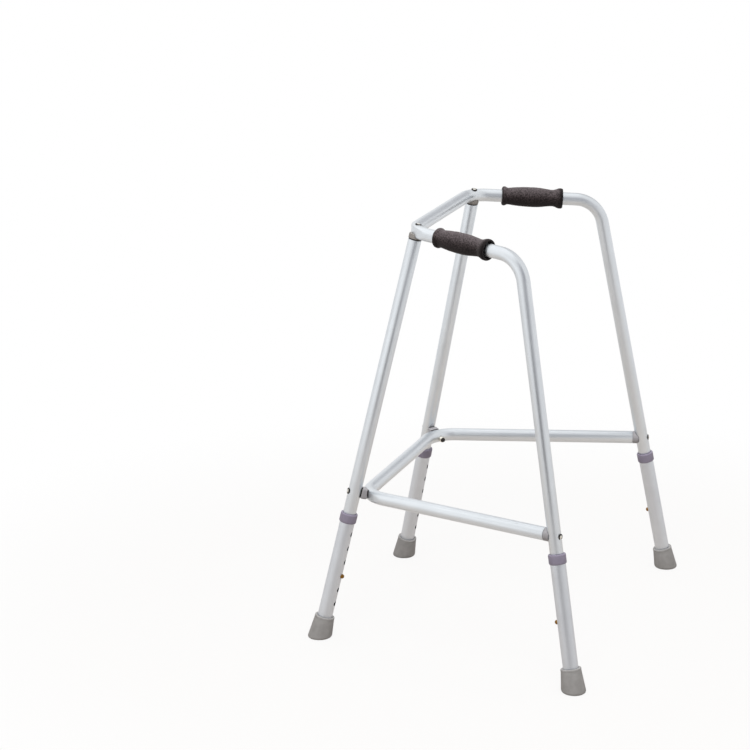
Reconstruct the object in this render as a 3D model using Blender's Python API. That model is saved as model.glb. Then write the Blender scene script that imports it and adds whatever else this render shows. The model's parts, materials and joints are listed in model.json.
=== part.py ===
# A rigid walking frame. One bent tube makes the front crossbar, both handles and both upper
# rear legs. Two straight front legs hang under its corners, one bent lower rail braces all four
# legs, and a lower leg slides on each upper one, held by a sprung button in a row of holes.
# Metres, +Z up, the front is -Y and the user's left hand is at +X. The origin is on the floor,
# midway between the four feet.

import math

import bmesh
import bpy
from mathutils import Matrix, Vector

# Tubes
TUBE_DIAMETER = 0.0222          # handle tube, front legs and lower rail
TUBE_WALL = 0.0015
LEG_WALL = 0.0012               # lower legs, which slide over the tubes
SLIDE_GAP = 0.0004              # all round between an upper leg and its lower leg

# Layout of the tubes' centre lines
HANDLE_HEIGHT = 0.708           # at the front corners
HANDLE_DROP = 0.013             # fall of the handles towards the rear
HANDLE_RUN = 0.212              # front corner to rear corner, measured front to back
FRONT_CORNER_HALF_WIDTH = 0.157
REAR_CORNER_HALF_WIDTH = 0.236
FRONT_FOOT_HALF_WIDTH = 0.218
REAR_FOOT_HALF_WIDTH = 0.313
FRONT_LEG_RAKE = 0.147          # front foot ahead of the front corner
REAR_LEG_RAKE = 0.118           # rear foot behind the rear corner
CORNER_BEND_RADIUS = 0.048
CORNER_FLATTENING = 0.0042      # how deep the outside of a bend is pressed flat
REAR_BEND_RADIUS = 0.050
REAR_FLATTENING = 0.0010
RAIL_HEIGHT = 0.253
RAIL_BEND_RADIUS = 0.052
RAIL_FLATTENING = 0.0026
RAIL_BOLT_TURN = math.radians(35)   # front rail bolt, from straight back towards the middle

# Lower legs, measured along each leg's axis
HOLE_PITCH = 0.0254
HOLES_ABOVE_BUTTON = 3
HOLES_BELOW_BUTTON = 2
TOP_HOLE_DROP = 0.0195          # collar down to the middle of the top hole
UPPER_TAIL = 0.0210             # upper tube below the button
COLLAR_DROP = 0.0240            # rail's height down to the top of the collar
COLLAR_HEIGHT = 0.0168
COLLAR_DIAMETER = 0.0292
COLLAR_LIP = 0.0030             # part of the collar that covers the end of the lower leg
COLLAR_ROUNDING = 0.0022

# Rubber ferrules and the steel discs inside them
FERRULE_HEIGHT = 0.0400
FERRULE_TOP_DIAMETER = 0.0328
FERRULE_BASE_DIAMETER = 0.0412
FERRULE_SOLE = 0.0100           # rubber under the disc, on the leg's axis
FERRULE_RIM = 0.0040            # height of the rim bead
FERRULE_RIM_PROUD = 0.0006
FERRULE_ROUNDING = 0.0030
DISC_THICKNESS = 0.0015
DISC_BORE = 0.0090

# Snap buttons and their clips
BUTTON_DIAMETER = 0.0076
BUTTON_PROUD = 0.0045           # dome beyond the lower leg
BUTTON_FLANGE_DIAMETER = 0.0104
BUTTON_FLANGE = 0.0012
HOLE_GAP = 0.0004               # round a bolt or a button
CLIP_WIDTH = 0.0060
CLIP_THICKNESS = 0.0005
CLIP_REACH = 0.0060             # flat end of the clip above and below the button
CLIP_DEPTH = 0.0170             # button down to the fold of the clip
CLIP_MITRE = 0.3                # least share of a full mitre at a fold, so that a sharp one stays short

# Handle grips, measured back along the handle from the front corner
GRIP_START = 0.0565
GRIP_LENGTH = 0.1065
GRIP_RING_DIAMETER = 0.0345
GRIP_NECK_DIAMETER = 0.0286
GRIP_BELLY_DIAMETER = 0.0344
GRIP_FRONT_RING = 0.0060        # width of the front ring
GRIP_FRONT_NECK = 0.0045        # slope from the front ring down to the neck
GRIP_REAR_RING = 0.0085
GRIP_REAR_NECK = 0.0085
GRIP_ROUNDING = 0.0021
GRIP_CUP_DEPTH = 0.0060         # hollow in the rear end
GRIP_CUP_DIAMETER = 0.0294

# Plugs, spacers and fasteners
SEAT_GAP = 0.0003               # between pieces that touch
CORNER_PLUG_DIAMETER = 0.0230
CORNER_PLUG_WEB = 0.0036        # plastic between a front leg and the handle tube
CORNER_PLUG_LOBE = 0.0050       # lobes stop this far under the tube's centre line
CORNER_PLUG_SHANK = 0.0220
RAIL_PLUG_LENGTH = 0.0058       # plug between the rail's end and the rear leg
RAIL_PLUG_LOBE = 0.0050         # reach of its lobes round the rear leg
RAIL_PLUG_SHANK = 0.0220
SPACER_LENGTH = 0.0100          # between a front leg and the rail
SPACER_WIDTH = 0.0180
SPACER_TALLNESS = 0.0185
SPACER_LOBE = 0.0012
SPACER_ROUNDING = 0.0035
BOLT_DIAMETER = 0.0060
BOLT_HEAD_DIAMETER = 0.0104
BOLT_HEAD_DOME = 0.0020
BOLT_HEAD_SKIRT = 0.0036        # side of a head or nut, which beds down on the tube
NUT_ACROSS_CORNERS = 0.0115
NUT_THICKNESS = 0.0050
NUT_DOME = 0.0045
BOLT_END = 0.0020               # thread that shows beyond a nut

# Facets
TUBE_SIDES = 20
SMALL_SIDES = 12
BEND_STEP = math.radians(13)
DOME_STEPS = 3
BELLY_STEPS = 6
SMOOTH_ANGLE = math.radians(35)

TUBE_RADIUS = TUBE_DIAMETER / 2
TUBE_BORE = TUBE_RADIUS - TUBE_WALL
LEG_BORE = TUBE_RADIUS + SLIDE_GAP
LEG_RADIUS = LEG_BORE + LEG_WALL
BOLT_RADIUS = BOLT_DIAMETER / 2
BUTTON_RADIUS = BUTTON_DIAMETER / 2
DISC_BASE = FERRULE_SOLE + SEAT_GAP
LEG_END = DISC_BASE + DISC_THICKNESS + SEAT_GAP
COLLAR_TOP = RAIL_HEIGHT - COLLAR_DROP
LEG_TOP = COLLAR_TOP - COLLAR_LIP - SEAT_GAP
BUTTON_HEIGHT = COLLAR_TOP - COLLAR_HEIGHT - TOP_HOLE_DROP - HOLES_ABOVE_BUTTON * HOLE_PITCH
UPPER_END = BUTTON_HEIGHT - UPPER_TAIL
RAIL_BOLT_SPAN = TUBE_DIAMETER - RAIL_FLATTENING + SPACER_LENGTH    # leg's axis to rail's centre line
FOOT_DEPTH = FRONT_LEG_RAKE + HANDLE_RUN + REAR_LEG_RAKE

UP = Vector((0, 0, 1))
BACK = Vector((0, 1, 0))
SIDES = {"left": 1, "right": -1}

# Colour, roughness and metallic value of each finish
FINISHES = {
    "anodised_aluminium": ((0.78, 0.80, 0.83), 0.35, 1.0),
    "grip_foam": ((0.045, 0.040, 0.042), 0.85, 0.0),
    "collar_plastic": ((0.33, 0.30, 0.38), 0.50, 0.0),
    "plug_plastic": ((0.38, 0.37, 0.42), 0.50, 0.0),
    "dark_plastic": ((0.20, 0.18, 0.17), 0.55, 0.0),
    "ferrule_rubber": ((0.30, 0.29, 0.275), 0.80, 0.0),
    "bright_steel": ((0.75, 0.75, 0.76), 0.20, 1.0),
    "brass": ((0.55, 0.36, 0.12), 0.30, 1.0),
    "spring_steel": ((0.45, 0.45, 0.47), 0.35, 1.0),
}


def clear_scene():
    for thing in list(bpy.data.objects):
        bpy.data.objects.remove(thing, do_unlink=True)


def finish_material(name):
    colour, roughness, metallic = FINISHES[name]
    material = bpy.data.materials.get(name) or bpy.data.materials.new(name)
    material.use_nodes = True
    shader = material.node_tree.nodes["Principled BSDF"]
    shader.inputs["Base Color"].default_value = (*colour, 1)
    shader.inputs["Roughness"].default_value = roughness
    shader.inputs["Metallic"].default_value = metallic
    return material


def new_object(name, bm, parent=None, place=None):
    bmesh.ops.recalc_face_normals(bm, faces=bm.faces)
    mesh = bpy.data.meshes.new(name)
    bm.to_mesh(mesh)
    bm.free()
    thing = bpy.data.objects.new(name, mesh)
    bpy.context.collection.objects.link(thing)
    thing.parent = parent
    thing.matrix_local = place or Matrix()
    return thing


def new_piece(name, bm, finish, parent=None, place=None):
    piece = new_object(name, bm, parent, place)
    piece.data.materials.append(finish_material(finish))
    piece.data.shade_smooth()
    piece.data.set_sharp_from_angle(angle=SMOOTH_ANGLE)
    return piece


def new_cutter(name, bm, parent=None, place=None):
    cutter = new_object(name, bm, parent, place)
    cutter.hide_render = True
    cutter.display_type = "WIRE"
    return cutter


def new_empty(name, place):
    empty = bpy.data.objects.new(name, None)
    bpy.context.collection.objects.link(empty)
    empty.matrix_world = place
    return empty


def combine(piece, other, operation="DIFFERENCE"):
    modifier = piece.modifiers.new(other.name, "BOOLEAN")
    modifier.operation = operation
    modifier.solver = "EXACT"
    modifier.object = other


def axes_at(origin, z_axis, y_hint):
    # A placement whose Z lies along z_axis and whose Y leans as near to y_hint as it can.
    z_axis = z_axis.normalized()
    y_axis = (y_hint - z_axis * y_hint.dot(z_axis)).normalized()
    x_axis = y_axis.cross(z_axis)
    place = Matrix((x_axis, y_axis, z_axis)).transposed().to_4x4()
    place.translation = origin
    return place


def mirrored(point, side):
    return Vector((point.x * SIDES[side], point.y, point.z))


def drill(piece, holes, parent=None):
    # Each hole is a placement, a radius, and where it starts and ends along its own Z.
    bm = bmesh.new()
    for place, radius, start, end in holes:
        middle = place @ Matrix.Translation((0, 0, (start + end) / 2))
        bmesh.ops.create_cone(bm, cap_ends=True, segments=SMALL_SIDES, radius1=radius,
                              radius2=radius, depth=end - start, matrix=middle)
    combine(piece, new_cutter(piece.name + "_holes", bm, parent))


def turned(profile, sides=TUBE_SIDES):
    # (radius, height) points turned about Z. A profile that leaves the axis closes on itself.
    bm = bmesh.new()
    rings = []
    for radius, height in profile:
        count = sides if radius else 1
        angles = [2 * math.pi * i / sides for i in range(count)]
        rings.append([bm.verts.new((radius * math.cos(a), radius * math.sin(a), height)) for a in angles])
    pairs = list(zip(rings, rings[1:]))
    if profile[0][0]:
        pairs.append((rings[-1], rings[0]))
    for first, second in pairs:
        for i in range(sides):
            j = (i + 1) % sides
            corners = [first[i % len(first)], first[j % len(first)],
                       second[j % len(second)], second[i % len(second)]]
            bm.faces.new(list(dict.fromkeys(corners)))
    return bm


def arc(center, radius, start, end, steps):
    # (radius, height) points on a quarter of a turned edge, angles from the outward direction.
    angles = [start + (end - start) * i / steps for i in range(steps + 1)]
    return [(center[0] + radius * math.cos(a), center[1] + radius * math.sin(a)) for a in angles]


def bend_stops(center, first_arm, turn, axis, flattening):
    # Stops on a bend: points on the arc, each with the inward dent of its outer wall.
    steps = max(2, math.ceil(turn / BEND_STEP))
    stops = []
    for i in range(steps + 1):
        arm = Matrix.Rotation(turn * i / steps, 3, axis) @ first_arm
        depth = flattening * math.sqrt(abs(math.sin(math.pi * i / steps)))
        stops.append((center + arm, arm.normalized() * depth))
    return stops


def corner_frame(before, corner, after):
    to_before = (before - corner).normalized()
    to_after = (after - corner).normalized()
    return to_before, (to_before + to_after).normalized(), to_before.angle(to_after) / 2


def corner_bend(before, corner, after, radius, flattening):
    # The bend that rounds a corner of a centre line.
    to_before, to_middle, half_angle = corner_frame(before, corner, after)
    center = corner + to_middle * radius / math.sin(half_angle)
    first_arm = corner + to_before * radius / math.tan(half_angle) - center
    axis = (after - corner).cross(before - corner).normalized()
    return bend_stops(center, first_arm, math.pi - 2 * half_angle, axis, flattening)


def bend_middle(before, corner, after, radius):
    to_middle, half_angle = corner_frame(before, corner, after)[1:]
    return corner + to_middle * radius * (1 / math.sin(half_angle) - 1)


def straight(start, end):
    return [(start, Vector()), (end, Vector())]


def swept(stops, radius, bore=0):
    # A round bar, or a tube where bore is given, through the stops of a path, without twist.
    bm = bmesh.new()
    points = [point for point, dent in stops]
    cross = BACK.cross(points[1] - points[0]).normalized()
    skins = {size: [] for size in (radius, bore) if size}
    for i, (point, dent) in enumerate(stops):
        along = (points[min(i + 1, len(points) - 1)] - points[max(i - 1, 0)]).normalized()
        cross = (cross - along * cross.dot(along)).normalized()
        other = along.cross(cross)
        for size, rings in skins.items():
            ring = []
            for k in range(TUBE_SIDES):
                angle = 2 * math.pi * k / TUBE_SIDES
                arm = cross * math.cos(angle) + other * math.sin(angle)
                pressed = max(arm.dot(dent.normalized()) * size - (size - dent.length), 0)
                ring.append(bm.verts.new(point + arm * size - dent.normalized() * pressed))
            rings.append(ring)
    loops = list(skins[radius])
    if bore:
        loops += reversed(skins[bore])
        loops.append(loops[0])
    else:
        bm.faces.new(loops[0])
        bm.faces.new(loops[-1])
    for first, second in zip(loops, loops[1:]):
        for k in range(TUBE_SIDES):
            n = (k + 1) % TUBE_SIDES
            bm.faces.new((first[k], first[n], second[n], second[k]))
    return bm


# Centre lines, worked out for the left side

def layout():
    front_foot = Vector((FRONT_FOOT_HALF_WIDTH, -FOOT_DEPTH / 2, 0))
    rear_foot = Vector((REAR_FOOT_HALF_WIDTH, FOOT_DEPTH / 2, 0))
    front_corner = Vector((FRONT_CORNER_HALF_WIDTH, front_foot.y + FRONT_LEG_RAKE, HANDLE_HEIGHT))
    rear_corner = Vector((REAR_CORNER_HALF_WIDTH, rear_foot.y - REAR_LEG_RAKE, HANDLE_HEIGHT - HANDLE_DROP))
    front_top = bend_middle(mirrored(front_corner, "right"), front_corner, rear_corner, CORNER_BEND_RADIUS)
    front_leg = (front_top - front_foot).normalized()
    rear_leg = (rear_corner - rear_foot).normalized()

    # The front rail bolt is square to the front leg, and the rail bends round where it passes.
    inward = Vector((-math.sin(RAIL_BOLT_TURN), math.cos(RAIL_BOLT_TURN), 0))
    rail_bolt = (inward - front_leg * inward.dot(front_leg)).normalized()
    leg_crossing = front_foot + front_leg * (RAIL_HEIGHT - RAIL_BOLT_SPAN * rail_bolt.z) / front_leg.z
    rail_middle = leg_crossing + rail_bolt * RAIL_BOLT_SPAN
    bend_center = rail_middle + Vector((rail_bolt.x, rail_bolt.y, 0)).normalized() * RAIL_BEND_RADIUS

    # The rail's straight part leaves the bend on a tangent to the rear leg.
    rear_crossing = rear_foot + rear_leg * RAIL_HEIGHT / rear_leg.z
    to_rear = rear_crossing - bend_center
    lean = math.acos(RAIL_BEND_RADIUS / to_rear.length)
    tangent_arm = Matrix.Rotation(-lean, 3, UP) @ to_rear.normalized() * RAIL_BEND_RADIUS
    rail_forward = (bend_center + tangent_arm - rear_crossing).normalized()
    rail = [(rear_crossing + rail_forward * (TUBE_RADIUS + RAIL_PLUG_LENGTH), Vector())]
    rail += bend_stops(bend_center, tangent_arm, tangent_arm.angle(-BACK), -UP, RAIL_FLATTENING)
    return {
        "front_foot": front_foot, "rear_foot": rear_foot,
        "front_corner": front_corner, "rear_corner": rear_corner,
        "front_top": front_top, "front_leg": front_leg, "rear_leg": rear_leg,
        "leg_crossing": leg_crossing, "rail_bolt": rail_bolt,
        "rear_crossing": rear_crossing, "rail_forward": rail_forward, "rail": rail,
    }


LAYOUT = layout()
FRONT_LEG_LENGTH = (LAYOUT["front_top"] - LAYOUT["front_foot"]).length
FRONT_LEG_TOP = FRONT_LEG_LENGTH - TUBE_RADIUS - CORNER_PLUG_WEB


def on_side(key, side):
    return mirrored(LAYOUT[key], side)


def handle_path():
    rear_end = LAYOUT["rear_foot"] + LAYOUT["rear_leg"] * UPPER_END
    rear_corner = LAYOUT["rear_corner"]
    front_corner = LAYOUT["front_corner"]
    stops = [(rear_end, Vector())]
    stops += corner_bend(rear_end, rear_corner, front_corner, REAR_BEND_RADIUS, REAR_FLATTENING)
    stops += corner_bend(rear_corner, front_corner, mirrored(front_corner, "right"), CORNER_BEND_RADIUS,
                         CORNER_FLATTENING)
    return with_mirror_image(stops)


def rail_path():
    return with_mirror_image(LAYOUT["rail"])


def with_mirror_image(stops):
    return stops + [(mirrored(point, "right"), mirrored(dent, "right")) for point, dent in reversed(stops)]


def leg_axes(end, side):
    # Z runs up the leg from the floor, and Y points to the side where the button shows.
    facing = BACK if end == "front" else -BACK
    return axes_at(on_side(end + "_foot", side), on_side(end + "_leg", side), facing)


def button_axes():
    # In a leg's own axes: Z points out through the button.
    return axes_at(UP * BUTTON_HEIGHT, BACK, UP)


def rail_bolt_axes(side):
    return axes_at(on_side("leg_crossing", side), on_side("rail_bolt", side), UP)


def rail_plug_axes(side):
    return axes_at(on_side("rear_crossing", side), on_side("rail_forward", side), UP)


# Tubes

def make_handle_tube():
    tube = new_piece("top_frame_tube", swept(handle_path(), TUBE_RADIUS, TUBE_BORE), "anodised_aluminium")
    holes = []
    for side in SIDES:
        down_leg = leg_axes("front", side) @ Matrix.Translation((0, 0, FRONT_LEG_LENGTH))
        holes.append((down_leg, BOLT_RADIUS + HOLE_GAP, -TUBE_DIAMETER, TUBE_DIAMETER))
        holes.append((rail_plug_axes(side), BOLT_RADIUS + HOLE_GAP, -TUBE_DIAMETER, TUBE_DIAMETER))
        holes.append((leg_axes("rear", side) @ button_axes(), BUTTON_RADIUS + HOLE_GAP, 0, TUBE_DIAMETER))
    drill(tube, holes)


def make_front_leg(side, clearance):
    path = straight(UP * UPPER_END, UP * FRONT_LEG_TOP)
    axes = leg_axes("front", side)
    bm = swept(path, TUBE_RADIUS, TUBE_BORE)
    leg = new_piece("front_leg_" + side, bm, "anodised_aluminium", None, axes)
    drill(leg, [
        (rail_bolt_axes(side), BOLT_RADIUS + HOLE_GAP, -TUBE_DIAMETER, TUBE_DIAMETER),
        (axes @ button_axes(), BUTTON_RADIUS + HOLE_GAP, 0, TUBE_DIAMETER),
    ])
    bar = swept(path, TUBE_RADIUS + SEAT_GAP)
    clearance[side] = new_cutter("front_leg_" + side + "_clearance", bar, None, axes)


def make_lower_rail():
    rail = new_piece("lower_rail", swept(rail_path(), TUBE_RADIUS, TUBE_BORE), "anodised_aluminium")
    drill(rail, [(rail_bolt_axes(side), BOLT_RADIUS + HOLE_GAP, RAIL_BOLT_SPAN - TUBE_DIAMETER,
                  RAIL_BOLT_SPAN + TUBE_DIAMETER) for side in SIDES])


# Fasteners, each turned about its own Z with the head at the bottom

def bolt(name, axes, head_seat, length, tube):
    head_radius = BOLT_HEAD_DIAMETER / 2
    dome_radius = (head_radius ** 2 + BOLT_HEAD_DOME ** 2) / (2 * BOLT_HEAD_DOME)
    dome_center = (0, head_seat - BOLT_HEAD_DOME + dome_radius)
    dome_edge = -math.acos(head_radius / dome_radius)
    dome = arc(dome_center, dome_radius, -math.pi / 2, dome_edge, DOME_STEPS)
    dome[0] = (0, head_seat - BOLT_HEAD_DOME)
    head = dome + [(head_radius, head_seat + BOLT_HEAD_SKIRT), (0, head_seat + BOLT_HEAD_SKIRT)]
    piece = new_piece(name, turned(head, SMALL_SIDES), "bright_steel", None, axes)
    combine(piece, tube)
    start = head_seat - BOLT_HEAD_DOME / 2
    end = head_seat + length
    shank = turned([(0, start), (BOLT_RADIUS, start), (BOLT_RADIUS, end), (0, end)], SMALL_SIDES)
    combine(piece, new_cutter(name + "_shank", shank, None, axes), "UNION")


def hexagon(start, end):
    corner = NUT_ACROSS_CORNERS / 2
    return turned([(0, start), (corner, start), (corner, end), (0, end)], 6)


def plain_nut(name, axes, seat):
    top = seat + NUT_THICKNESS
    piece = new_piece(name, hexagon(seat, top), "bright_steel", None, axes)
    drill(piece, [(axes, BOLT_RADIUS + SEAT_GAP, seat - BOLT_END, top + BOLT_END)])


def cap_nut(name, axes, seat, tube):
    # The hexagon beds down on the tube, and a dome closes it.
    top = seat + NUT_THICKNESS
    piece = new_piece(name, hexagon(seat - BOLT_HEAD_SKIRT, top), "bright_steel", None, axes)
    combine(piece, tube)
    inside = NUT_ACROSS_CORNERS / 2 * math.cos(math.pi / 6) - SEAT_GAP
    middle = seat + NUT_THICKNESS / 2
    dome = [(0, middle), (inside, middle)]
    dome += [(inside * math.cos(a), top + NUT_DOME * math.sin(a))
             for a in [math.pi / 2 * i / DOME_STEPS for i in range(DOME_STEPS)]]
    dome.append((0, top + NUT_DOME))
    combine(piece, new_cutter(name + "_dome", turned(dome, SMALL_SIDES), None, axes), "UNION")
    drill(piece, [(axes, BOLT_RADIUS + SEAT_GAP, seat - BOLT_HEAD_SKIRT - BOLT_END, top)])


# Front corners: plug in the front leg, bolt down through the handle tube

def make_corner(side, handle_clearance):
    axes = leg_axes("front", side)
    shank_end = FRONT_LEG_TOP - CORNER_PLUG_SHANK
    shoulder = FRONT_LEG_TOP + SEAT_GAP
    lobe_top = FRONT_LEG_LENGTH - CORNER_PLUG_LOBE
    shank = TUBE_BORE - SEAT_GAP
    flange = CORNER_PLUG_DIAMETER / 2
    profile = [(0, shank_end), (shank, shank_end), (shank, shoulder), (flange, shoulder),
               (flange, lobe_top), (0, lobe_top)]
    plug = new_piece("corner_plug_" + side, turned(profile), "dark_plastic", None, axes)
    combine(plug, handle_clearance)
    drill(plug, [(axes, BOLT_RADIUS + SEAT_GAP, shank_end - BOLT_END, FRONT_LEG_LENGTH)])

    down = axes @ Matrix.Translation((0, 0, FRONT_LEG_LENGTH)) @ Matrix.Rotation(math.pi, 4, "X")
    nut_seat = FRONT_LEG_LENGTH - shank_end + SEAT_GAP
    bolt_length = TUBE_RADIUS + nut_seat + NUT_THICKNESS + BOLT_END
    bolt("corner_bolt_" + side, down, -TUBE_RADIUS - SEAT_GAP, bolt_length, handle_clearance)
    plain_nut("corner_nut_" + side, down, nut_seat)


# Front of the lower rail: spacer, bolt through leg, spacer and rail, and a cap nut

def make_front_rail_joint(side, leg_clearance, rail_clearance):
    axes = rail_bolt_axes(side)
    start = TUBE_RADIUS - SPACER_LOBE
    length = SPACER_LENGTH + 2 * SPACER_LOBE
    block = bmesh.new()
    size = Matrix.Diagonal((SPACER_WIDTH, SPACER_TALLNESS, length, 1))
    bmesh.ops.create_cube(block, size=1, matrix=Matrix.Translation((0, 0, start + length / 2)) @ size)
    upright = [edge for edge in block.edges if abs(edge.verts[0].co.z - edge.verts[1].co.z) > SPACER_LOBE]
    bmesh.ops.bevel(block, geom=upright, offset=SPACER_ROUNDING, segments=3, profile=0.5, affect="EDGES")
    spacer = new_piece("front_rail_spacer_" + side, block, "plug_plastic", None, axes)
    combine(spacer, leg_clearance)
    combine(spacer, rail_clearance)
    drill(spacer, [(axes, BOLT_RADIUS + SEAT_GAP, 0, RAIL_BOLT_SPAN)])

    nut_seat = RAIL_BOLT_SPAN + TUBE_RADIUS + SEAT_GAP
    bolt_length = TUBE_RADIUS + nut_seat + NUT_THICKNESS / 2
    bolt("front_rail_bolt_" + side, axes, -TUBE_RADIUS - SEAT_GAP, bolt_length, leg_clearance)
    cap_nut("front_rail_nut_" + side, axes, nut_seat, rail_clearance)


# Rear of the lower rail: plug in the rail's end, bolt through the rear leg, nut inside the rail

def make_rear_rail_joint(side, handle_clearance):
    axes = rail_plug_axes(side)
    rail_end = TUBE_RADIUS + RAIL_PLUG_LENGTH
    lobe = TUBE_RADIUS - RAIL_PLUG_LOBE
    shank_end = rail_end + RAIL_PLUG_SHANK
    shank = TUBE_BORE - SEAT_GAP
    profile = [(0, lobe), (TUBE_RADIUS, lobe), (TUBE_RADIUS, rail_end - SEAT_GAP),
               (shank, rail_end - SEAT_GAP), (shank, shank_end), (0, shank_end)]
    plug = new_piece("rail_end_plug_" + side, turned(profile), "plug_plastic", None, axes)
    combine(plug, handle_clearance)
    drill(plug, [(axes, BOLT_RADIUS + SEAT_GAP, 0, shank_end + BOLT_END)])

    nut_seat = shank_end + SEAT_GAP
    bolt_length = TUBE_RADIUS + nut_seat + NUT_THICKNESS + BOLT_END
    bolt("rear_rail_bolt_" + side, axes, -TUBE_RADIUS - SEAT_GAP, bolt_length, handle_clearance)
    plain_nut("rear_rail_nut_" + side, axes, nut_seat)


# Hand grips

def make_grip(side):
    corner = on_side("front_corner", side)
    axes = axes_at(corner, on_side("rear_corner", side) - corner, UP)
    end = GRIP_START + GRIP_LENGTH
    ring = GRIP_RING_DIAMETER / 2
    neck = GRIP_NECK_DIAMETER / 2
    belly = GRIP_BELLY_DIAMETER / 2
    bore = TUBE_RADIUS + SEAT_GAP
    rounding = GRIP_ROUNDING
    body_start = GRIP_START + GRIP_FRONT_RING + GRIP_FRONT_NECK
    body_length = end - GRIP_REAR_RING - GRIP_REAR_NECK - body_start
    profile = [(bore, GRIP_START), (ring - rounding, GRIP_START), (ring, GRIP_START + rounding),
               (ring, GRIP_START + GRIP_FRONT_RING - rounding)]
    for i in range(BELLY_STEPS + 1):
        swell = math.sin(math.pi * i / BELLY_STEPS)
        profile.append((neck + (belly - neck) * swell, body_start + body_length * i / BELLY_STEPS))
    profile += [(ring, end - GRIP_REAR_RING + rounding), (ring, end - rounding), (ring - rounding, end),
                (GRIP_CUP_DIAMETER / 2, end), (GRIP_CUP_DIAMETER / 2, end - GRIP_CUP_DEPTH),
                (bore, end - GRIP_CUP_DEPTH)]
    new_piece("grip_" + side, turned(profile), "grip_foam", None, axes)


# Lower legs, each on its own slide along the leg's axis

def make_lower_leg(end, side):
    name = end + "_" + side
    slide = new_empty(name + "_leg_slide", leg_axes(end, side))
    tube = new_piece("leg_tube_" + name, swept(straight(UP * LEG_END, UP * LEG_TOP), LEG_RADIUS, LEG_BORE),
                     "anodised_aluminium", slide)
    steps = range(-HOLES_BELOW_BUTTON, HOLES_ABOVE_BUTTON + 1)
    drill(tube, [(Matrix.Translation(UP * HOLE_PITCH * step) @ button_axes(), BUTTON_RADIUS + HOLE_GAP,
                  0, LEG_RADIUS * 2) for step in steps], slide)
    make_collar(name, slide)
    make_ferrule(name, slide)
    disc = [(DISC_BORE / 2, DISC_BASE), (LEG_RADIUS, DISC_BASE),
            (LEG_RADIUS, DISC_BASE + DISC_THICKNESS), (DISC_BORE / 2, DISC_BASE + DISC_THICKNESS)]
    new_piece("ferrule_disc_" + name, turned(disc), "bright_steel", slide)


def make_collar(name, slide):
    outer = COLLAR_DIAMETER / 2
    base = COLLAR_TOP - COLLAR_HEIGHT
    socket = LEG_RADIUS + SEAT_GAP
    round_start = outer - COLLAR_ROUNDING
    profile = [(socket, base)]
    profile += arc((round_start, base + COLLAR_ROUNDING), COLLAR_ROUNDING, -math.pi / 2, 0, 2)[1:]
    profile += arc((round_start, COLLAR_TOP - COLLAR_ROUNDING), COLLAR_ROUNDING, 0, math.pi / 2, 2)
    lip_base = COLLAR_TOP - COLLAR_LIP
    profile += [(LEG_BORE, COLLAR_TOP), (LEG_BORE, lip_base), (socket, lip_base)]
    new_piece("leg_collar_" + name, turned(profile), "collar_plastic", slide)


def make_ferrule(name, slide):
    top = FERRULE_TOP_DIAMETER / 2
    base = FERRULE_BASE_DIAMETER / 2
    socket = LEG_RADIUS + SEAT_GAP
    taper = (base - top) / FERRULE_HEIGHT
    rim_base = FERRULE_HEIGHT - FERRULE_RIM
    # The sole runs on below the floor by the leg's lean across its base, then the floor trims it.
    floor = slide.matrix_world.inverted()
    floor_normal = (floor.to_3x3() @ UP).normalized()
    lean = math.acos(floor_normal.z)
    sole = -base * math.tan(lean) - FERRULE_ROUNDING
    profile = [(0, sole), (base, sole), (base, 0), (top + taper * FERRULE_RIM, rim_base),
               (top + FERRULE_RIM_PROUD, rim_base + FERRULE_RIM_PROUD),
               (top + FERRULE_RIM_PROUD, FERRULE_HEIGHT - FERRULE_RIM_PROUD), (top, FERRULE_HEIGHT),
               (socket, FERRULE_HEIGHT), (socket, FERRULE_SOLE), (0, FERRULE_SOLE)]
    bm = turned(profile)
    bmesh.ops.recalc_face_normals(bm, faces=bm.faces)
    everything = bm.verts[:] + bm.edges[:] + bm.faces[:]
    sliced = bmesh.ops.bisect_plane(bm, geom=everything, plane_co=floor.translation,
                                    plane_no=floor_normal, clear_inner=True)
    rim = [part for part in sliced["geom_cut"] if isinstance(part, bmesh.types.BMEdge)]
    bmesh.ops.edgenet_fill(bm, edges=rim)
    new_piece("ferrule_" + name, bm, "ferrule_rubber", slide)


# Snap buttons, each on its own slide, and the folded clips that push them out

def make_button(end, side):
    name = end + "_" + side
    axes = leg_axes(end, side) @ button_axes()
    slide = new_empty(name + "_button_slide", axes)
    flange = BUTTON_FLANGE_DIAMETER / 2
    flange_top = math.sqrt(TUBE_BORE ** 2 - flange ** 2) - SEAT_GAP
    flange_base = flange_top - BUTTON_FLANGE
    dome_base = LEG_RADIUS + BUTTON_PROUD - BUTTON_RADIUS
    profile = [(0, flange_base), (flange, flange_base), (flange, flange_top), (BUTTON_RADIUS, flange_top)]
    profile += arc((0, dome_base), BUTTON_RADIUS, 0, math.pi / 2, DOME_STEPS)[:-1]
    profile.append((0, dome_base + BUTTON_RADIUS))
    new_piece("snap_button_" + name, turned(profile, SMALL_SIDES), "brass", slide)

    front = flange_base - SEAT_GAP - CLIP_THICKNESS / 2
    wall = math.sqrt(TUBE_BORE ** 2 - (CLIP_WIDTH / 2) ** 2) - SEAT_GAP - CLIP_THICKNESS / 2
    fold = (front - wall) / 2
    line = [(CLIP_REACH, front), (-CLIP_REACH, front), (-CLIP_DEPTH, fold), (-CLIP_REACH, -wall),
            (CLIP_REACH, -wall)]
    new_piece("snap_clip_" + name, clip_strip(line), "spring_steel", None, axes)


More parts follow.
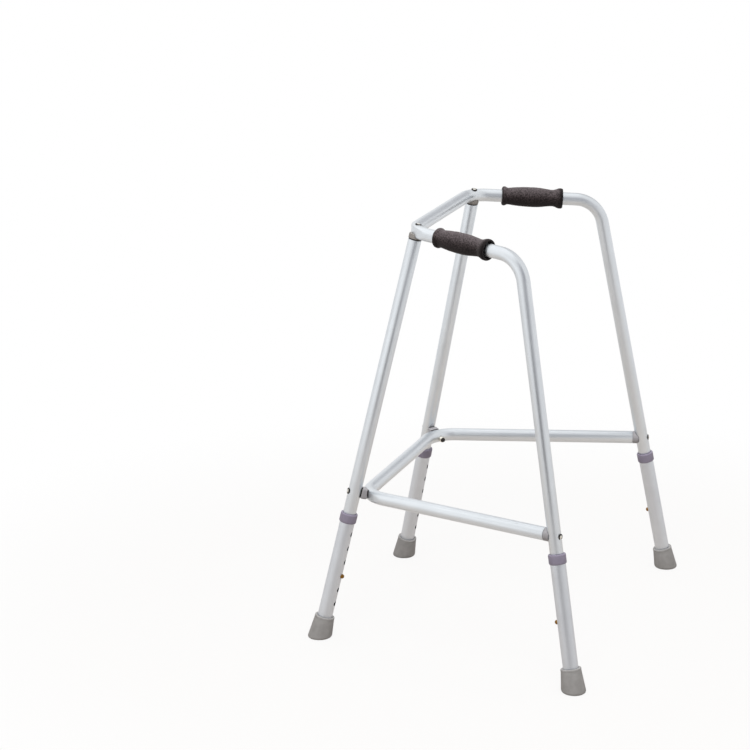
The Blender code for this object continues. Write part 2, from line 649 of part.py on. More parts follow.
def clip_strip(line):
    # A flat strip of even thickness along (height, depth) points.
    bm = bmesh.new()
    points = [Vector(point) for point in line]
    rings = []
    for i, point in enumerate(points):
        before = (point - points[i - 1]).normalized() if i else (points[1] - point).normalized()
        after = (points[i + 1] - point).normalized() if i + 1 < len(points) else before
        along = before + after
        if along.length < CLIP_THICKNESS:
            along = Vector((0, before.y))
        along.normalize()
        normal = Vector((-along.y, along.x))
        mitre = max(normal.dot(Vector((-before.y, before.x))), CLIP_MITRE)
        offset = normal * CLIP_THICKNESS / 2 / mitre
        ring = []
        for edge, across in ((1, 1), (1, -1), (-1, -1), (-1, 1)):
            spot = point + offset * edge
            ring.append(bm.verts.new((across * CLIP_WIDTH / 2, spot.x, spot.y)))
        rings.append(ring)
    for first, second in zip(rings, rings[1:]):
        for k in range(4):
            n = (k + 1) % 4
            bm.faces.new((first[k], first[n], second[n], second[k]))
    bm.faces.new(rings[0])
    bm.faces.new(rings[-1])
    return bm


def main():
    clear_scene()
    handle_clearance = new_cutter("handle_clearance", swept(handle_path(), TUBE_RADIUS + SEAT_GAP))
    rail_clearance = new_cutter("rail_clearance", swept(rail_path(), TUBE_RADIUS + SEAT_GAP))
    leg_clearance = {}
    make_handle_tube()
    make_lower_rail()
    for side in SIDES:
        make_front_leg(side, leg_clearance)
        make_corner(side, handle_clearance)
        make_front_rail_joint(side, leg_clearance[side], rail_clearance)
        make_rear_rail_joint(side, handle_clearance)
        make_grip(side)
        for end in ("front", "rear"):
            make_lower_leg(end, side)
            make_button(end, side)


main()
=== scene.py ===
import json
import math

import bpy
from mathutils import Matrix, Vector
from mathutils.kdtree import KDTree


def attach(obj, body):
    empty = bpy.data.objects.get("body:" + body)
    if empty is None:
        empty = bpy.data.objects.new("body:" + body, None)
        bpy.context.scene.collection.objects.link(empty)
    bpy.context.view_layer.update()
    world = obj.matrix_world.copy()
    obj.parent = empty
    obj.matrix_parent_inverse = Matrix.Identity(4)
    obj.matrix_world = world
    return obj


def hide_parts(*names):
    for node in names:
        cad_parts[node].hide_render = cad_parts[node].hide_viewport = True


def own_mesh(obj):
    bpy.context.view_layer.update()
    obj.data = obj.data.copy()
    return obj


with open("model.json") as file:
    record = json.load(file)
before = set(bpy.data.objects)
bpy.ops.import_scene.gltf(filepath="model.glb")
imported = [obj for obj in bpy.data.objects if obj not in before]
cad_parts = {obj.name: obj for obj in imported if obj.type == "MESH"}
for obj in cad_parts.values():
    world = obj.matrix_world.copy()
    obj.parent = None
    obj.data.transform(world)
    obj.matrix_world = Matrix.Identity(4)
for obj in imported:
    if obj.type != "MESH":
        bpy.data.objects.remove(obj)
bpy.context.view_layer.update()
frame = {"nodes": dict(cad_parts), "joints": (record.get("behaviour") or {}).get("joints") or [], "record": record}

# Walking frame: smooth tubes, foam grips, moulded plugs and rubber feet over the CAD frame.
# Metres, +Z up, the front is -Y, the user's left hand is at +X.

up = Vector((0, 0, 1))
sideSigns = {"left": 1, "right": -1}
legNames = ("front_left", "front_right", "rear_left", "rear_right")
frameNodes = frame["nodes"]
footSpots = {m["name"].replace("_sole", ""): Vector(m["pos_m"]) for m in frame["record"]["mounts"]}
jointWays = {j["child"]: Vector(j["axis"]) for j in frame["joints"]}
print("frame loaded,", len(frameNodes), "nodes")


# Small helpers for working in object and edit mode

def clearSelection():
    if bpy.context.mode != "OBJECT":
        bpy.ops.object.mode_set(mode="OBJECT")
    bpy.ops.object.select_all(action="DESELECT")


def activate(piece):
    clearSelection()
    piece.select_set(True)
    bpy.context.view_layer.objects.active = piece


def editMesh(piece):
    activate(piece)
    bpy.ops.object.mode_set(mode="EDIT")
    bpy.ops.mesh.select_all(action="SELECT")


def leaveEdit():
    bpy.ops.object.mode_set(mode="OBJECT")


def closeMesh(piece, near=1e-6):
    editMesh(piece)
    bpy.ops.mesh.remove_doubles(threshold=near)
    bpy.ops.mesh.dissolve_degenerate(threshold=near)
    bpy.ops.mesh.normals_make_consistent(inside=False)
    leaveEdit()


cutMerge = 1e-5  # corners nearer than this after a cut are one corner


def useModifier(piece, kind, **values):
    activate(piece)
    modifier = piece.modifiers.new(kind.title(), kind)
    for key, value in values.items():
        setattr(modifier, key, value)
    bpy.ops.object.modifier_apply(modifier=modifier.name)


def cutAway(piece, cutter, operation="DIFFERENCE", keepCutter=False):
    useModifier(piece, "BOOLEAN", operation=operation, solver="EXACT", object=cutter)
    if not keepCutter:
        bpy.data.objects.remove(cutter)


def softenEdges(piece, width, segments=3, angle=40):
    useModifier(piece, "BEVEL", width=width, segments=segments, limit_method="ANGLE",
                angle_limit=math.radians(angle), harden_normals=False)


def smooth(piece, angle=35):
    activate(piece)
    bpy.ops.object.shade_smooth_by_angle(angle=math.radians(angle))


def placeMesh(piece, axes):
    activate(piece)
    piece.matrix_world = axes
    bpy.ops.object.transform_apply(location=True, rotation=True, scale=True)


def copyPiece(source, name, axes):
    activate(source)
    bpy.ops.object.duplicate(linked=False)
    piece = bpy.context.object
    piece.name = name
    placeMesh(piece, axes)
    return piece


def axesAt(spot, zAxis, yHint):
    zAxis = zAxis.normalized()
    yAxis = (yHint - zAxis * yHint.dot(zAxis)).normalized()
    axes = Matrix((yAxis.cross(zAxis), yAxis, zAxis)).transposed().to_4x4()
    axes.translation = spot
    return axes


def onSide(spot, side):
    return Vector((spot.x * sideSigns[side], spot.y, spot.z))


def noteOwnPlace(piece):
    # the piece's own coordinates, kept so that a finish can follow its shape on every copy
    own = piece.data.attributes.new("ownPlace", "FLOAT_VECTOR", "POINT")
    own.data.foreach_set("vector", [c for v in piece.data.vertices for c in v.co])


def mount(piece, body, slot, node, finish=None):
    piece.data.materials.clear()
    piece.data.materials.append(finish or finishes[slot])
    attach(piece, body)
    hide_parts(node)


# Turned pieces: a rounded profile of (radius, height), spun about Z

def roundedProfile(corners, steps=5):
    # each corner is radius, height and, where it is rounded, the size of the rounding
    points = []
    for i, corner in enumerate(corners):
        spot = Vector(corner[:2])
        size = corner[2] if len(corner) > 2 else 0
        if not size:
            points.append(tuple(spot))
            continue
        before = (Vector(corners[i - 1][:2]) - spot).normalized()
        after = (Vector(corners[i + 1][:2]) - spot).normalized()
        half = before.angle(after) / 2
        center = spot + (before + after).normalized() * size / math.sin(half)
        start = spot + before * size / math.tan(half) - center
        end = spot + after * size / math.tan(half) - center
        turn = start.angle_signed(end)
        for k in range(steps + 1):
            a = -turn * k / steps
            points.append((center.x + start.x * math.cos(a) - start.y * math.sin(a),
                           center.y + start.x * math.sin(a) + start.y * math.cos(a)))
    return points


def turnProfile(name, points, facets):
    clearSelection()
    bpy.ops.mesh.primitive_plane_add(size=0.01)
    piece = bpy.context.object
    piece.name = name
    editMesh(piece)
    bpy.ops.mesh.merge(type="CENTER")
    bpy.ops.transform.translate(value=(points[0][0], 0, points[0][1]))
    for (r0, z0), (r1, z1) in zip(points, points[1:]):
        bpy.ops.mesh.extrude_region_move(TRANSFORM_OT_translate={"value": (r1 - r0, 0, z1 - z0)})
    bpy.ops.mesh.select_all(action="SELECT")
    bpy.ops.mesh.spin(steps=facets, angle=2 * math.pi, center=(0, 0, 0), axis=(0, 0, 1))
    leaveEdit()
    closeMesh(piece)
    return piece


def fitTurned(name, points, facets, axes, bar=None):
    # a turned fitting at its place, bedded on a tube where it has one
    piece = turnProfile(name, points, facets)
    placeMesh(piece, axes)
    if bar:
        cutAway(piece, bar, keepCutter=True)
    smooth(piece, 40)
    return piece


def quarterRound(radius, height, base, steps):
    # from the edge at the base up to the top
    angles = [math.pi / 2 * k / steps for k in range(steps + 1)]
    return [(radius * math.cos(a), base + height * math.sin(a)) for a in angles]


def turnBar(name, radius, start, end, facets, axes):
    piece = turnProfile(name, [(0, start), (radius, start), (radius, end), (0, end)], facets)
    placeMesh(piece, axes)
    return piece


# Bent tubes: a circle drawn along straight runs and spun round the bends

tubeStock = {
    "radius": 0.0111, "wall": 0.0015, "facets": 64, "bendStep": math.radians(4.5),
    "deburr": 0.0003, "seatGap": 0.0003, "hairGap": 0.0001, "shoulder": 0.30, "bendReach": 1.3,
}


def bendAt(before, corner, after, radius, dent):
    toBefore = (before - corner).normalized()
    toAfter = (after - corner).normalized()
    half = toBefore.angle(toAfter) / 2
    center = corner + (toBefore + toAfter).normalized() * radius / math.sin(half)
    start = corner + toBefore * radius / math.tan(half)
    axis = (after - corner).cross(before - corner).normalized()
    turn = math.pi - 2 * half
    return {
        "start": start, "end": corner + toAfter * radius / math.tan(half), "center": center,
        "axis": axis, "turn": turn, "dent": dent, "middle": center - (center - corner).normalized() * radius,
        "steps": max(4, math.ceil(turn / tubeStock["bendStep"])),
    }


def pressBend(piece, bend, radius):
    # the outer wall of a drawn bend is pressed flat, with a soft shoulder
    firstArm = bend["start"] - bend["center"]
    for vertex in piece.data.vertices:
        reach = vertex.co - bend["center"]
        flat = reach - bend["axis"] * reach.dot(bend["axis"])
        share = firstArm.angle(flat) / bend["turn"]
        if firstArm.cross(flat).dot(bend["axis"]) < 0 or not 0 < share < 1:
            continue
        outward = flat.normalized()
        arm = reach - outward * firstArm.length
        if arm.length > radius * tubeStock["bendReach"]:
            continue
        depth = bend["dent"] * math.sqrt(math.sin(math.pi * share))
        over = arm.dot(outward) - radius + depth
        vertex.co -= outward * (over + math.hypot(over, depth * tubeStock["shoulder"])) / 2


def tubeStops(points, bends):
    # stations along the centre line, each with its own axes, carried round without twist
    along = (points[1] - points[0]).normalized()
    across = along.orthogonal().normalized()
    stops = [(points[0], along, across, 0.0)]
    spot = points[0]
    run = 0.0
    for bend in bends:
        run += (bend["start"] - spot).length
        arm = bend["start"] - bend["center"]
        for k in range(bend["steps"] + 1):
            turn = Matrix.Rotation(bend["turn"] * k / bend["steps"], 3, bend["axis"])
            length = arm.length * bend["turn"] * k / bend["steps"]
            stops.append((bend["center"] + turn @ arm, turn @ along, turn @ across, run + length))
        along, across = stops[-1][1:3]
        run = stops[-1][3]
        spot = bend["end"]
    stops.append((points[-1], along, across, run + (points[-1] - spot).length))
    return stops


def noteTubeRun(piece, stops):
    # the straightened tube's coordinates: across, across and along
    tree = KDTree(len(stops))
    for i, stop in enumerate(stops):
        tree.insert(stop[0], i)
    tree.balance()
    own = piece.data.attributes.new("ownPlace", "FLOAT_VECTOR", "POINT")
    for vertex in piece.data.vertices:
        spot, along, across, run = stops[tree.find(vertex.co)[1]]
        arm = vertex.co - spot
        own.data[vertex.index].vector = (arm.dot(across), arm.dot(along.cross(across)), run + arm.dot(along))


def drawTube(name, points, bends, radius, wall=0.0):
    heading = (points[1] - points[0]).normalized()
    clearSelection()
    bpy.ops.mesh.primitive_circle_add(vertices=tubeStock["facets"], radius=radius, location=points[0],
                                      rotation=heading.to_track_quat("Z", "Y").to_euler())
    piece = bpy.context.object
    piece.name = name
    bpy.ops.object.transform_apply(location=True, rotation=True, scale=True)
    editMesh(piece)
    spot = points[0]
    for bend in bends:
        bpy.ops.mesh.extrude_region_move(TRANSFORM_OT_translate={"value": bend["start"] - spot})
        bpy.ops.mesh.spin(steps=bend["steps"], angle=bend["turn"], center=bend["center"],
                          axis=-bend["axis"])
        spot = bend["end"]
    bpy.ops.mesh.extrude_region_move(TRANSFORM_OT_translate={"value": points[-1] - spot})
    leaveEdit()
    closeMesh(piece)
    for bend in bends:
        pressBend(piece, bend, radius)
    if wall:
        useModifier(piece, "SOLIDIFY", thickness=wall, offset=-1)
        softenEdges(piece, tubeStock["deburr"], segments=2, angle=60)
    else:
        editMesh(piece)
        bpy.ops.mesh.fill_holes(sides=0)
        bpy.ops.mesh.normals_make_consistent(inside=False)
        leaveEdit()
    return piece


# Layout of the centre lines, on the left side; the right side is its mirror image

layout = {
    "frontCorner": Vector((0.157, -0.0915, 0.708)), "rearCorner": Vector((0.236, 0.1205, 0.695)),
    "cornerBend": 0.048, "cornerDent": 0.0042, "rearBend": 0.050, "rearDent": 0.0010,
    "upperEnd": 0.0955, "plugWeb": 0.0036,
    "railHeight": 0.253, "railBend": 0.052, "railDent": 0.0026, "railBoltTurn": math.radians(35),
    "spacerLength": 0.0100, "railPlugLength": 0.0058,
}


def legAxes(leg):
    # Z runs up the leg from the floor, Y points to the side where the button shows
    facing = Vector((0, 1 if leg.startswith("front") else -1, 0))
    return axesAt(footSpots[leg], -jointWays[leg + "_leg"], facing)


tubeRadius = tubeStock["radius"]
frontCorner = layout["frontCorner"]
rearCorner = layout["rearCorner"]
frontFoot = footSpots["front_left"]
rearFoot = footSpots["rear_left"]
frontUp = -jointWays["front_left_leg"]
rearUp = -jointWays["rear_left_leg"]
rearEnd = rearFoot + rearUp * layout["upperEnd"]
handlePoints = [rearEnd, rearCorner, frontCorner]
handlePoints += [onSide(p, "right") for p in reversed(handlePoints)]
handleBends = [
    bendAt(*handlePoints[i:i + 3], layout[kind + "Bend"], layout[kind + "Dent"])
    for i, kind in enumerate(("rear", "corner", "corner", "rear"))
]
frontTop = handleBends[1]["middle"]
frontLegLength = (frontTop - frontFoot).length
frontLegTop = frontLegLength - tubeRadius - layout["plugWeb"]

railInward = Vector((-math.sin(layout["railBoltTurn"]), math.cos(layout["railBoltTurn"]), 0))
railBolt = (railInward - frontUp * railInward.dot(frontUp)).normalized()
railBoltSpan = 2 * tubeRadius - layout["railDent"] + layout["spacerLength"]
legCrossing = frontFoot + frontUp * (layout["railHeight"] - railBoltSpan * railBolt.z) / frontUp.z
railMiddle = legCrossing + railBolt * railBoltSpan
bendCenter = railMiddle + Vector((railBolt.x, railBolt.y, 0)).normalized() * layout["railBend"]
rearCrossing = rearFoot + rearUp * layout["railHeight"] / rearUp.z
toRear = rearCrossing - bendCenter
railLean = math.acos(layout["railBend"] / toRear.length)
railArm = Matrix.Rotation(-railLean, 3, up) @ toRear.normalized() * layout["railBend"]
railForward = (bendCenter + railArm - rearCrossing).normalized()
railFrontY = bendCenter.y - layout["railBend"]
railCorner = rearCrossing + railForward * (railFrontY - rearCrossing.y) / railForward.y
railEnd = rearCrossing + railForward * (tubeRadius + layout["railPlugLength"])
railPoints = [railEnd, railCorner, onSide(railCorner, "right"), onSide(railEnd, "right")]
railBends = [bendAt(*railPoints[i:i + 3], layout["railBend"], layout["railDent"]) for i in range(2)]
print("centre lines laid out")


# Shader effects that several finishes share

def feed(tree, socket, value):
    # a socket takes another socket's value, a colour or a plain value
    if isinstance(value, bpy.types.NodeSocket):
        tree.links.new(value, socket)
    elif socket.type == "RGBA":
        socket.default_value = (*value, 1)
    else:
        socket.default_value = value


def put(tree, kind, settings=None, **values):
    node = tree.nodes.new("ShaderNode" + kind)
    for key, value in (settings or {}).items():
        setattr(node, key, value)
    for key, value in values.items():
        feed(tree, node.inputs[key.replace("_", " ")], value)
    return node


def calc(tree, operation, *values, clamp=False):
    node = put(tree, "Math", {"operation": operation, "use_clamp": clamp})
    for socket, value in zip(node.inputs, values):
        feed(tree, socket, value)
    return node.outputs[0]


def vectorCalc(tree, operation, *values):
    node = put(tree, "VectorMath", {"operation": operation})
    for socket, value in zip(node.inputs, values):
        feed(tree, socket, value)
    return node.outputs["Vector" if operation == "MULTIPLY" else "Value"]


def startGroup(name, result, **inputs):
    # every effect takes a place and some sizes, and gives one value
    group = bpy.data.node_groups.new(name, "ShaderNodeTree")
    group.interface.new_socket("Place", in_out="INPUT", socket_type="NodeSocketVector")
    for socket, value in inputs.items():
        made = group.interface.new_socket(socket, in_out="INPUT", socket_type="NodeSocketFloat")
        made.default_value = value
    group.interface.new_socket(result, in_out="OUTPUT", socket_type="NodeSocketFloat")
    taken = group.nodes.new("NodeGroupInput")
    given = group.nodes.new("NodeGroupOutput")
    return group, taken.outputs, given.inputs[result]


def makeSoftCloud():
    # slow, even variation, 0.5 on average
    group, taken, given = startGroup("softCloud", "Shade", Size=0.02, Depth=1.0)
    scale = calc(group, "DIVIDE", 1.0, taken["Size"])
    noise = put(group, "TexNoise", Vector=taken["Place"], Scale=scale, Detail=3.0, Roughness=0.55)
    away = calc(group, "SUBTRACT", noise.outputs["Fac"], 0.5)
    feed(group, given, calc(group, "MULTIPLY_ADD", away, taken["Depth"], 0.5))
    return group


def makeDrawnLines():
    # fine lines left along a drawn tube, on the tube's straightened coordinates
    group, taken, given = startGroup("drawnLines", "Lines", Width=0.0006, Length=0.05)
    across = calc(group, "DIVIDE", 1.0, taken["Width"])
    along = calc(group, "DIVIDE", 1.0, taken["Length"])
    stretch = put(group, "CombineXYZ", X=across, Y=across, Z=along)
    place = vectorCalc(group, "MULTIPLY", taken["Place"], stretch.outputs[0])
    noise = put(group, "TexNoise", Vector=place, Scale=1.0, Detail=2.0, Roughness=0.6)
    feed(group, given, noise.outputs["Fac"])
    return group


rubEdge = {"highest": 0.75, "byShare": 0.35, "sharpness": 7.0}


def makeRubMarks():
    # sparse pale marks where a surface has been rubbed
    group, taken, given = startGroup("rubMarks", "Mask", Size=0.004, Share=0.3)
    scale = calc(group, "DIVIDE", 1.0, taken["Size"])
    noise = put(group, "TexNoise", Vector=taken["Place"], Scale=scale, Detail=5.0, Roughness=0.7,
                Distortion=0.4)
    lower = calc(group, "MULTIPLY", taken["Share"], rubEdge["byShare"])
    edge = calc(group, "SUBTRACT", rubEdge["highest"], lower)
    above = calc(group, "SUBTRACT", noise.outputs["Fac"], edge)
    feed(group, given, calc(group, "MULTIPLY", above, rubEdge["sharpness"], clamp=True))
    return group


def makeMouldGrain():
    # the fine pebble of a moulded surface
    group, taken, given = startGroup("mouldGrain", "Height", Size=0.0008)
    scale = calc(group, "DIVIDE", 1.0, taken["Size"])
    pebble = put(group, "TexVoronoi", {"feature": "SMOOTH_F1"}, Vector=taken["Place"], Scale=scale,
                 Smoothness=0.6)
    noise = put(group, "TexNoise", Vector=taken["Place"], Scale=scale, Detail=2.0, Roughness=0.6)
    pebbleShare = 0.6
    height = calc(group, "MULTIPLY_ADD", pebble.outputs["Distance"], pebbleShare, noise.outputs["Fac"])
    feed(group, given, height)
    return group


softCloud = makeSoftCloud()
drawnLines = makeDrawnLines()
rubMarks = makeRubMarks()
mouldGrain = makeMouldGrain()


# Finishes

def startFinish(name, **values):
    finish = bpy.data.materials.new(name)
    finish.use_nodes = True
    tree = finish.node_tree
    shader = tree.nodes["Principled BSDF"].inputs
    for key, value in values.items():
        feed(tree, shader[key.replace("_", " ")], value)
    return finish, tree, shader, put(tree, "TexCoord").outputs["Object"]


def noted(tree, name, output):
    # what an attribute of the mesh holds
    return put(tree, "Attribute", {"attribute_name": name}).outputs[output]


def effect(tree, group, place, **values):
    return put(tree, "Group", {"node_tree": group}, Place=place, **values).outputs[0]


def spread(tree, value, low, high, span=(0.0, 1.0), kind="LINEAR"):
    # a value carried from its own span to the span low to high
    node = put(tree, "MapRange", {"interpolation_type": kind}, Value=value,
               From_Min=span[0], From_Max=span[1], To_Min=low, To_Max=high)
    return node.outputs["Result"]


def between(tree, share, first, second):
    # a colour between two, by a mask or another value
    node = put(tree, "Mix", {"data_type": "RGBA"})
    for i, value in ((0, share), (6, first), (7, second)):
        feed(tree, node.inputs[i], value)
    return node.outputs[2]


def partly(tree, mask, most, first, second):
    # the same, with no more than a share of the second colour
    return between(tree, calc(tree, "MULTIPLY", mask, most, clamp=True), first, second)


def bump(tree, shader, height, strength, distance):
    node = put(tree, "Bump", Strength=strength, Distance=distance, Height=height)
    feed(tree, shader["Normal"], node.outputs["Normal"])


drawnLook = {
    "lineWidth": 0.0007, "lineLength": 0.06, "lineShare": 0.22, "lineBump": 0.25, "lineDepth": 0.00002,
    "cloudSize": 0.035, "cloudDepth": 1.4, "markSize": 0.012, "marks": 0.25, "markWear": 0.06,
}
anodisedLook = {
    **drawnLook, "pale": (0.725, 0.755, 0.785), "deep": (0.655, 0.685, 0.715),
    "smoothest": 0.33, "roughest": 0.44,
}
# the dark bore colour paints shade into the drilled holes and the inside of the tube
drilledLook = {
    **drawnLook, "pale": (0.690, 0.713, 0.748), "deep": (0.627, 0.649, 0.683),
    "smoothest": 0.47, "roughest": 0.60, "bore": (0.030, 0.027, 0.026), "boreFade": (0.0120, 0.0126),
}


def makeAnodised(name, look):
    finish, tree, shader, place = startFinish(name, Metallic=1.0)
    own = noted(tree, "ownPlace", "Vector")
    lines = effect(tree, drawnLines, own, Width=look["lineWidth"], Length=look["lineLength"])
    cloud = effect(tree, softCloud, place, Size=look["cloudSize"], Depth=look["cloudDepth"])
    marks = effect(tree, rubMarks, place, Size=look["markSize"], Share=look["marks"])
    shade = between(tree, cloud, look["deep"], look["pale"])
    shade = partly(tree, lines, look["lineShare"], shade, look["deep"])
    if "bore" in look:  # painted shade: the drilled hole walls and the inside of the tube are painted dark
        reach = vectorCalc(tree, "LENGTH", vectorCalc(tree, "MULTIPLY", own, (1, 1, 0)))
        shade = between(tree, spread(tree, reach, 1.0, 0.0, look["boreFade"]), shade, look["bore"])
    feed(tree, shader["Base Color"], shade)
    rough = spread(tree, lines, look["smoothest"], look["roughest"])
    feed(tree, shader["Roughness"], calc(tree, "MULTIPLY_ADD", marks, look["markWear"], rough))
    bump(tree, shader, lines, look["lineBump"], look["lineDepth"])
    return finish


# the top colour and its shares paint light on the upper side, the underside share paints shade
foamLook = {
    "deep": (0.006, 0.004, 0.004), "pale": (0.094, 0.071, 0.073), "worn": (0.180, 0.150, 0.156),
    "roughness": 0.92, "specular": 0.2, "sheen": 0.22, "sheenRoughness": 0.5, "sheenTint": (0.84, 0.76, 0.76),
    "cell": 0.0018, "cellBump": 0.55, "cellDepth": 0.0005, "fleck": 0.0021, "contrast": 4.0,
    "patch": 0.014, "patchDepth": 1.6, "patchShare": 0.35, "leastWorn": 0.35, "skinnedRim": 0.90,
    "topSpan": (0.10, 1.0), "wornTop": 0.80, "underSpan": (0.35, -0.60), "cleanUnder": 0.84,
}


def makeFoam():
    look = foamLook
    finish, tree, shader, place = startFinish(
        "gripFoam", Roughness=look["roughness"], Sheen_Weight=look["sheen"],
        Sheen_Roughness=look["sheenRoughness"], Sheen_Tint=look["sheenTint"],
        Specular_IOR_Level=look["specular"])
    cells = effect(tree, mouldGrain, place, Size=look["cell"])
    flecks = effect(tree, softCloud, place, Size=look["fleck"], Depth=look["contrast"])
    patches = effect(tree, softCloud, place, Size=look["patch"], Depth=look["patchDepth"])
    shade = between(tree, flecks, look["deep"], look["pale"])
    shade = partly(tree, patches, look["patchShare"], shade, look["deep"])
    # painted light and shade: the upper side is painted paler, as light falls from above, the underside is painted
    # darker, and the end rims and the hollow get painted shade
    facesUp = noted(tree, "facesUp", "Fac")
    top = spread(tree, facesUp, 0.0, look["wornTop"], look["topSpan"])
    under = spread(tree, facesUp, 0.0, look["cleanUnder"], look["underSpan"])
    rubbed = calc(tree, "MULTIPLY", top, spread(tree, flecks, look["leastWorn"], 1.0))
    shade = between(tree, rubbed, shade, look["worn"])
    shade = between(tree, under, shade, look["deep"])
    shade = partly(tree, noted(tree, "endRim", "Fac"), look["skinnedRim"], shade, look["deep"])
    feed(tree, shader["Base Color"], shade)
    bump(tree, shader, cells, look["cellBump"], look["cellDepth"])
    return finish


mouldedLook = {
    "specular": 0.45, "cloudSize": 0.010, "cloudDepth": 1.3, "markSize": 0.003, "marks": 0.3,
    "markShare": 0.5, "grain": 0.0006, "bump": 0.12, "bumpDepth": 0.0002,
}
collarLook = {
    **mouldedLook, "deep": (0.310, 0.272, 0.360), "pale": (0.385, 0.340, 0.430), "rubbed": (0.52, 0.48, 0.56),
    "cloudSize": 0.012, "markSize": 0.004, "grain": 0.0007, "smoothest": 0.38, "roughest": 0.55,
}
plugLook = {
    **mouldedLook, "deep": (0.410, 0.393, 0.408), "pale": (0.525, 0.505, 0.520), "rubbed": (0.63, 0.61, 0.62),
    "smoothest": 0.36, "roughest": 0.52,
}
saddleLook = {
    **mouldedLook, "deep": (0.30, 0.275, 0.252), "pale": (0.43, 0.400, 0.372), "rubbed": (0.55, 0.52, 0.49),
    "smoothest": 0.40, "roughest": 0.56,
}
# near black, for pieces that paint shade and dark reflections: the rings under screw heads, the rings at the
# corner leg tops, the pads at the rail spacers; also the black ends of the cap nuts
blackAndShadeLook = {
    **mouldedLook, "deep": (0.014, 0.011, 0.010), "pale": (0.026, 0.022, 0.020),
    "rubbed": (0.06, 0.052, 0.047), "cloudSize": 0.008, "marks": 0.25, "bump": 0.15,
    "smoothest": 0.50, "roughest": 0.68,
}
rubberLook = {
    **mouldedLook, "deep": (0.370, 0.355, 0.345), "pale": (0.535, 0.517, 0.505), "rubbed": (0.65, 0.63, 0.62),
    "cloudSize": 0.013, "markSize": 0.0035, "marks": 0.4, "grain": 0.0009, "bump": 0.3,
    "smoothest": 0.66, "roughest": 0.84,
}


def makeMoulded(name, look):
    # moulded plastic: fine pebble, slow colour drift, pale rubbed marks
    finish, tree, shader, place = startFinish(name, Specular_IOR_Level=look["specular"])
    cloud = effect(tree, softCloud, place, Size=look["cloudSize"], Depth=look["cloudDepth"])
    marks = effect(tree, rubMarks, place, Size=look["markSize"], Share=look["marks"])
    grain = effect(tree, mouldGrain, place, Size=look["grain"])
    shade = between(tree, cloud, look["deep"], look["pale"])
    feed(tree, shader["Base Color"], partly(tree, marks, look["markShare"], shade, look["rubbed"]))
    feed(tree, shader["Roughness"], spread(tree, grain, look["smoothest"], look["roughest"]))
    bump(tree, shader, grain, look["bump"], look["bumpDepth"])
    return finish


metalLook = {"cloudSize": 0.003, "cloudDepth": 1.5, "swirl": 0.0009, "bump": 0.05, "bumpDepth": 0.00005}
steelLook = {
    **metalLook, "deep": (0.66, 0.64, 0.58), "pale": (0.80, 0.77, 0.70),
    "smoothest": 0.08, "roughest": 0.18,
}
brassLook = {
    **metalLook, "deep": (0.17, 0.078, 0.012), "pale": (0.30, 0.155, 0.035),
    "smoothest": 0.20, "roughest": 0.34,
}
springLook = {
    **metalLook, "deep": (0.34, 0.34, 0.36), "pale": (0.46, 0.46, 0.48),
    "smoothest": 0.25, "roughest": 0.40,
}


def makeMetal(name, look):
    # polished small fittings: a fine swirl in colour and gloss
    finish, tree, shader, place = startFinish(name, Metallic=1.0)
    cloud = effect(tree, softCloud, place, Size=look["cloudSize"], Depth=look["cloudDepth"])
    grain = effect(tree, mouldGrain, place, Size=look["swirl"])
    feed(tree, shader["Base Color"], between(tree, cloud, look["deep"], look["pale"]))
    feed(tree, shader["Roughness"], spread(tree, grain, look["smoothest"], look["roughest"]))
    bump(tree, shader, grain, look["bump"], look["bumpDepth"])
    return finish


finishes = {
    "anodised_aluminium": makeAnodised("satinAnodised", anodisedLook),
    "grip_foam": makeFoam(),
    "collar_plastic": makeMoulded("collarPlastic", collarLook),
    "plug_plastic": makeMoulded("plugPlastic", plugLook),
    "dark_plastic": makeMoulded("saddlePlastic", saddleLook),
    "ferrule_rubber": makeMoulded("footRubber", rubberLook),
    "bright_steel": makeMetal("brightSteel", steelLook),
    "brass": makeMetal("buttonBrass", brassLook),
    "spring_steel": makeMetal("springSteel", springLook),
}
blackAndShadeFinish = makeMoulded("washerPlastic", blackAndShadeLook)
drilledFinish = makeAnodised("drilledAnodised", drilledLook)
for item in frame["record"]["subparts"]:
    frameNodes[item["node"]].data.materials.clear()
    frameNodes[item["node"]].data.materials.append(finishes[item["material_slot"]])
print("finishes made,", len(finishes))


# Tubes of the frame

def makeFrameTube(name, points, bends, node):
    tube = drawTube(name, points, bends, tubeRadius, tubeStock["wall"])
    noteTubeRun(tube, tubeStops(points, bends))
    smooth(tube)
    mount(tube, "frame", "anodised_aluminium", node)


def frontLegPoints(side):
    axes = legAxes("front_" + side)
    return [axes @ Vector((0, 0, layout["upperEnd"])), axes @ Vector((0, 0, frontLegTop))]


makeFrameTube("handle_tube", handlePoints, handleBends, "top_frame_tube")
makeFrameTube("brace_rail", railPoints, railBends, "lower_rail")
for side in sideSigns:
    makeFrameTube("front_upright_" + side, frontLegPoints(side), [], "front_leg_" + side)
seatRadius = tubeRadius + tubeStock["seatGap"]
handleBar = drawTube("handleBar", handlePoints, handleBends, seatRadius)
railBar = drawTube("railBar", railPoints, railBends, seatRadius)
uprightBars = {side: drawTube("uprightBar" + side, frontLegPoints(side), [], seatRadius)
               for side in sideSigns}
print("tubes drawn")


# Lower legs, with their holes, collars, feet and buttons, modelled once in the leg's own axes

lowerLeg = {
    "radius": 0.0127, "wall": 0.0012, "bottom": 0.0121, "top": 0.2257, "buttonHeight": 0.1165,
    "pitch": 0.0254, "holesBelow": 2, "holesAbove": 3, "holeRadius": 0.0042, "drill": 0.03, "holeFacets": 34,
}


